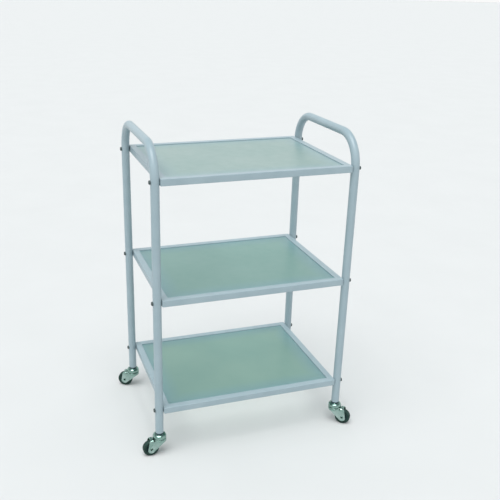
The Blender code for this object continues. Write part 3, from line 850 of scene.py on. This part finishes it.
def tyre_mesh():
    """The tyre: rounded shoulders, two fine grooves round the tread and a moulded bead on each side."""
    half = TYRE_WIDTH / 2
    shoulder = 0.0032
    groove = 0.0005
    bore = HUB_RADIUS + GAP
    upper = [
        (bore, half - 0.0012),
        (bore + 0.0008, half - 0.0004),
        (bore + 0.0022, half - 0.0002),
        (bore + 0.0027, half - 0.0008),
        (bore + 0.0040, half - 0.0008),
        (bore + 0.0046, half - 0.0001),
        *arc((WHEEL_RADIUS - shoulder, half - shoulder), shoulder, 88, 0, 8),
        (WHEEL_RADIUS, 0.0034),
        (WHEEL_RADIUS - groove, 0.0030),
        (WHEEL_RADIUS - groove, 0.0024),
        (WHEEL_RADIUS, 0.0020),
    ]
    return baked(solid("tyre", lie_down(turned(mirrored(upper), 96))), sharp=50)


def hub_mesh():
    """The wheel's core: a rim, a web that is ribbed on both sides, and a bored boss."""
    rim_half = TYRE_WIDTH / 2 - 0.0010
    web_half = 0.0030
    boss_half = 0.0095
    boss = 0.0073
    bore = 0.0051
    edge = 0.0005
    upper = [
        (bore, boss_half - edge),
        (bore + edge, boss_half),
        (boss - edge, boss_half),
        (boss, boss_half - edge),
        (boss + 0.0006, web_half + 0.0006),
        (boss + 0.0014, web_half),
        (HUB_RADIUS - 0.0026, web_half),
        (HUB_RADIUS - 0.0018, web_half + 0.0006),
        (HUB_RADIUS - 0.0015, rim_half - edge),
        (HUB_RADIUS - 0.0010, rim_half),
        (HUB_RADIUS - edge, rim_half),
        (HUB_RADIUS, rim_half - edge),
    ]
    shapes = [turned(mirrored(upper), 72)]
    rib_half = rim_half - 0.0008
    for number in range(RIB_COUNT):
        rib = box((boss - 0.001, -0.0005, -rib_half), (HUB_RADIUS - 0.001, 0.0005, rib_half))
        turn = Matrix.Rotation(2 * math.pi * number / RIB_COUNT, 4, "Z")
        bmesh.ops.transform(rib, matrix=turn, verts=rib.verts)
        shapes.append(rib)
    return baked(solid("hub", *[lie_down(shape) for shape in shapes]))


# ---------------------------------------------------------------- placing
def place(name, mesh, material, body, stands_for, at, turn=0.0):
    """Adds a piece that moves with a body and stands for a node of the frame. Its turn about Z, in radians,
    is made in a copy of the mesh, because other pieces share it."""
    if turn:
        mesh = mesh.copy()
        mesh.transform(Matrix.Rotation(turn, 4, "Z"))
    piece = add_object(name, mesh)
    if not mesh.materials:
        mesh.materials.append(material)
    piece.location = at
    bpy.context.view_layer.update()
    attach(piece, body)
    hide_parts(stands_for)
    return piece


def place_frames():
    """The two side frames and the three shelf frames."""
    tube = side_frame_mesh()
    for side in SIDES:
        low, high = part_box(f"{side}_side_frame")
        at = ((low.x + high.x) / 2, 0, 0)
        place(f"{side}_tube", tube, PAINT, "frame", f"{side}_side_frame", at)
    rails = shelf_frame_mesh()
    for shelf in SHELVES:
        at = (0, 0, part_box(f"{shelf}_shelf_frame")[1].z)
        place(f"{shelf}_rails", rails, PAINT, "frame", f"{shelf}_shelf_frame", at)


def place_glass():
    """The three panes, each with its own material and on its own body."""
    for shelf in SHELVES:
        at = (0, 0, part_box(f"{shelf}_shelf_frame")[1].z)
        name, body, node = f"{shelf}_glass_sheet", f"{shelf}_glass", f"{shelf}_glass_pane"
        sheet = place(name, pane_mesh(), GLASS_LIT_AND_SHADED[shelf], body, node, at)
        sheet.visible_shadow = False  # light reaches the shelves below, as through the real glass


def place_bolts():
    """A bolt through each leg into each shelf frame, with its head on the outside."""
    mesh = bolt_mesh()
    for corner in CORNERS:
        turn = 0.0 if corner.endswith("left") else math.pi
        leg = JOINTS[f"{corner}_swivel_turn"]["pos_m"]
        for shelf in SHELVES:
            node = f"{corner}_{shelf}_bolt"
            low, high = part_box(node)
            at = (leg[0], leg[1], (low.z + high.z) / 2)
            place(f"{corner}_{shelf}_hex_bolt", mesh, BOLT, "frame", node, at, turn)


def place_casters():
    """The four casters, each turned as its swivel stands. Their axle sleeves keep the frame's own shape."""
    still = {
        "leg_plug": (plug_mesh(), PLASTIC, "plug_plastic"),
        "caster_stem": (stem_mesh(), STEEL, "steel"),
        "bearing_cap": (cap_mesh(), ZINC, "zinc"),
        "ball_ring": (ball_ring_mesh(), STEEL, "steel"),
    }
    fork = fork_mesh()
    rivet = rivet_mesh()
    rolling = {
        "tyre": (tyre_mesh(), RUBBER, "rubber"),
        "wheel_hub": (hub_mesh(), PLASTIC, "hub_plastic"),
    }
    for corner in CORNERS:
        foot = Vector((*JOINTS[f"{corner}_swivel_turn"]["pos_m"][:2], 0))
        axle = Vector(JOINTS[f"{corner}_wheel_roll"]["pos_m"])
        turn = math.atan2(axle.y - foot.y, axle.x - foot.x)
        swivel, wheel = f"{corner}_swivel", f"{corner}_wheel"
        for piece, (mesh, material, slot) in still.items():
            place(f"{corner}_{piece}_look", mesh, material, "frame", f"{corner}_{piece}", foot, turn)
        place(f"{corner}_fork_look", fork, ZINC, swivel, f"{corner}_fork", foot, turn)
        place(f"{corner}_rivet_look", rivet, ZINC, swivel, f"{corner}_axle_rivet", axle, turn)
        for piece, (mesh, material, slot) in rolling.items():
            place(f"{corner}_{piece}_look", mesh, material, wheel, f"{corner}_{piece}", axle, turn)
        sleeve = frame["nodes"][f"{corner}_axle_sleeve"]
        sleeve.data.materials.clear()
        sleeve.data.materials.append(STEEL)


# ---------------------------------------------------------------- studio
CAMERA_AT = (-0.699, -1.979, 1.370)
CAMERA_AZIMUTH = -18.352  # degrees; 0 is straight in front
CAMERA_ELEVATION = 21.427
CAMERA_ROLL = 0.946
CAMERA_LENS = 50.73
CAMERA_SHIFT = (0.0591, 0.0105)
SENSOR_WIDTH = 36

SUN_AZIMUTH = -40
SUN_ELEVATION = 70
SUN_SPREAD = 50
SUN_STRENGTH = 3.0
SURROUND_LOW = (1.0, 1.0, 1.0)
SURROUND_HIGH = (0.34, 0.39, 0.41)
SURROUND_FADE = (0.44, 0.64)  # between them, as heights on a unit sphere
SURROUND_STRENGTH = 0.95

FLOOR_RADIUS = 60
FLOOR_DROP = 0.0004  # below the wheels
FLOOR_DARK = (0.60, 0.61, 0.61)
FLOOR_LIGHT = (0.63, 0.64, 0.64)


def towards(azimuth, elevation):
    """The direction from the cart to something at an azimuth and an elevation in degrees."""
    azimuth, elevation = math.radians(azimuth), math.radians(elevation)
    return Vector((
        math.sin(azimuth) * math.cos(elevation),
        -math.cos(azimuth) * math.cos(elevation),
        math.sin(elevation),
    ))


def add_camera():
    """The camera, which looks down at the cart from its left front."""
    back = towards(CAMERA_AZIMUTH, CAMERA_ELEVATION)
    azimuth = math.radians(CAMERA_AZIMUTH)
    right = Vector((math.cos(azimuth), math.sin(azimuth), 0))
    up = back.cross(right)
    level = Matrix((right, up, back)).transposed().to_4x4()
    data = bpy.data.cameras.new("camera")
    data.sensor_width = SENSOR_WIDTH
    data.lens = CAMERA_LENS
    data.shift_x, data.shift_y = CAMERA_SHIFT
    camera = add_object("camera", data)
    roll = Matrix.Rotation(math.radians(CAMERA_ROLL), 4, "Z")
    camera.matrix_world = Matrix.Translation(CAMERA_AT) @ level @ roll
    bpy.context.scene.camera = camera


def add_floor():
    """A plain pale floor that reaches the horizon."""
    shape = bmesh.new()
    bmesh.ops.create_circle(shape, cap_ends=True, segments=96, radius=FLOOR_RADIUS)
    floor = solid("floor", shape)
    floor.location.z = -FLOOR_DROP
    material, tree, put = new_material("floor", Specular_IOR_Level=0.2)
    put("Base Color", mixed(tree, noise(tree, 3, 2), FLOOR_DARK, FLOOR_LIGHT))
    put("Roughness", varied(tree, noise(tree, 20, 2), 0.65, 0.75))
    floor.data.materials.append(material)


def add_sun():
    """A wide, soft light from above, in front and to the left."""
    data = bpy.data.lights.new("soft_sun", "SUN")
    data.energy = SUN_STRENGTH
    data.angle = math.radians(SUN_SPREAD)
    light = add_object("soft_sun", data)
    light.rotation_euler = (-towards(SUN_AZIMUTH, SUN_ELEVATION)).to_track_quat("-Z", "Y").to_euler()


def add_world():
    """A white surround that darkens overhead, so that bright metal has something to reflect."""
    world = bpy.data.worlds.new("studio")
    bpy.context.scene.world = world
    world.use_nodes = True
    tree = world.node_tree
    direction = add_node(tree, "ShaderNodeTexCoord")
    split = add_node(tree, "ShaderNodeSeparateXYZ", Vector=direction.outputs["Generated"])
    height = remap(tree, split.outputs["Z"], *SURROUND_FADE)
    background = tree.nodes["Background"]
    tree.links.new(mixed(tree, height, SURROUND_LOW, SURROUND_HIGH), background.inputs["Color"])
    background.inputs["Strength"].default_value = SURROUND_STRENGTH


def add_studio():
    """The camera, floor, surround and light."""
    bpy.context.scene.view_settings.view_transform = "Standard"
    add_camera()
    add_floor()
    add_world()
    add_sun()


place_frames()
place_glass()
place_bolts()
place_casters()
add_studio()
